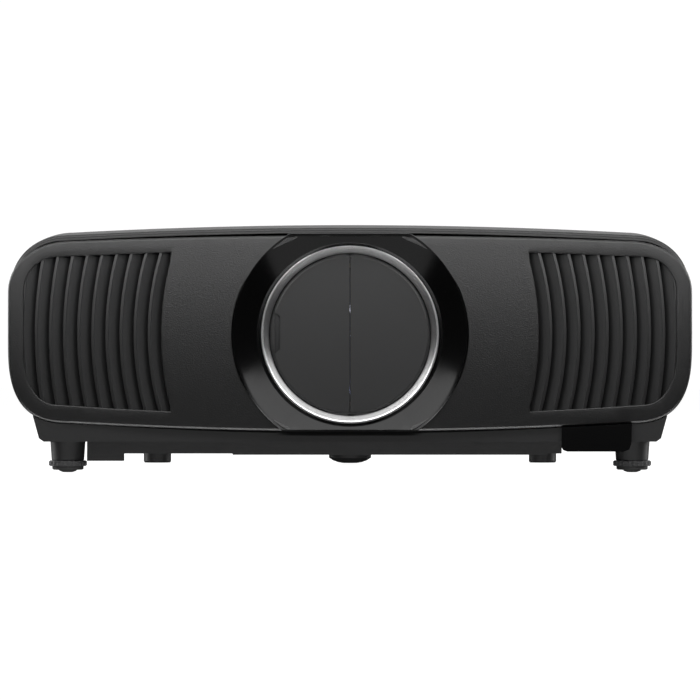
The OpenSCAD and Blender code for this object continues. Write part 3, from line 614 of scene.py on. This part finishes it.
for sp in frame["record"]["subparts"]:
    o = frame["nodes"].get(sp["node"])
    if o is None:
        continue
    m = MAT[sp["material_slot"]]
    if sp["node"] == "rear_panel":
        m = MAT["cover_plastic"]
    if sp["node"] in ("lower_case", "rear_feet", "front_foot_sockets"):
        m = MAT["lower_plastic"]
    o.data.materials.clear()
    o.data.materials.append(m)
    if sp["node"] in SOFT:
        b = o.modifiers.new("soft_edge", "BEVEL")
        b.width = SOFT[sp["node"]] * MM
        b.segments = 2
        b.limit_method = "ANGLE"
        b.angle_limit = math.radians(35)
        b.harden_normals = False

# ------------------------------------------------------------------ floor, light and camera
def floor():
    me = bpy.data.meshes.new("floor")
    s = 9.0
    me.from_pydata([(-s, -s, -0.0004), (s, -s, -0.0004), (s, s, -0.0004), (-s, s, -0.0004)], [], [(0, 1, 2, 3)])
    o = bpy.data.objects.new("floor", me)
    scene.collection.objects.link(o)
    m, nt, b = new_mat("floor_white")
    b.inputs["Base Color"].default_value = (0.30, 0.30, 0.30, 1)
    b.inputs["Roughness"].default_value = 0.9
    b.inputs["Specular IOR Level"].default_value = 0.0
    b.inputs["Emission Color"].default_value = (1, 1, 1, 1)
    b.inputs["Emission Strength"].default_value = 1.0
    me.materials.append(m)
    o.visible_diffuse = False
    o.visible_glossy = False
    o.visible_transmission = False
    o.visible_shadow = False

def area(name, loc, target, sx, sy, power, col=(1, 1, 1), spread=180):
    l = bpy.data.lights.new(name, "AREA")
    l.shape = "RECTANGLE"
    l.size, l.size_y = sx, sy
    l.energy = power
    l.color = col
    l.spread = math.radians(spread)
    o = bpy.data.objects.new(name, l)
    scene.collection.objects.link(o)
    o.location = loc
    o.visible_camera = False
    o.rotation_euler = (Vector(target) - Vector(loc)).to_track_quat("-Z", "Y").to_euler()
    return o

floor()
strip = area("strip_top_front", (0, -0.38, 0.39), (0, -0.20, 0.13), 1.5, 0.10, 2.1)
off = bpy.data.collections.new("not_from_strip")
off.objects.link(SURROUND)
off.collection_objects[0].light_linking.link_state = "EXCLUDE"
strip.light_linking.receiver_collection = off
area("front_key", (0, -1.0, 0.45), (0, -0.20, 0.12), 1.6, 0.12, 5.0)
overhead = area("overhead", (0, -0.55, 1.0), (0, -0.55, 0), 5.6, 1.1, 34)
off2 = bpy.data.collections.new("not_from_overhead")
off2.objects.link(BEZEL)
off2.collection_objects[0].light_linking.link_state = "EXCLUDE"
overhead.light_linking.receiver_collection = off2
edge = bpy.data.collections.new("bezel_edge")
edge.objects.link(BEZEL)
for l in (area("edge_high", (0, -0.26, 0.62), (0, -0.225, 0.18), 1.5, 0.12, 3.4), area("edge_low", (0, -0.24, -0.35), (0, -0.225, 0.03), 1.4, 0.12, 3.4)):
    l.light_linking.receiver_collection = edge
area("rim_left", (-1.9, 0.7, 0.6), (0, 0, 0.1), 0.8, 1.2, 30)
area("rim_right", (1.9, 0.7, 0.6), (0, 0, 0.1), 0.8, 1.2, 30)
area("floor_bounce", (0, -0.5, -0.5), (0, -0.5, 0), 1.6, 1.0, 2.2)
area("front_soft", (0, -6.0, 1.2), (0, 0, 0.1), 6.0, 3.0, 1.5)
area("behind", (0, 3.0, 1.7), (0, 0, 0.1), 4.0, 2.0, 34)
low = area("low_fill", (0, -1.2, -0.45), (0, -0.18, 0.02), 2.6, 0.4, 9)
under = bpy.data.collections.new("underside")
for name in ("base_pan", "rear_feet", "front_foot_sockets", "foot_knob_left", "foot_knob_right", "foot_pad_left", "foot_pad_right"):
    under.objects.link(frame["nodes"][name])
low.light_linking.receiver_collection = under

w = bpy.data.worlds.new("world")
scene.world = w
w.use_nodes = True
bg = w.node_tree.nodes["Background"]
bg.inputs["Color"].default_value = (1, 1, 1, 1)
bg.inputs["Strength"].default_value = 1.05
w.cycles_visibility.diffuse = False
w.cycles_visibility.glossy = False
w.cycles_visibility.transmission = False

scene.view_settings.view_transform = "Standard"
scene.view_settings.look = "None"

cam = bpy.data.cameras.new("camera")
cam.lens = 271.4
cam.sensor_width = 36
cam.clip_end = 60
co = bpy.data.objects.new("camera", cam)
scene.collection.objects.link(co)
co.location = (0, -4.2235, 0.0937)
co.rotation_euler = (math.radians(90), 0, 0)
scene.camera = co
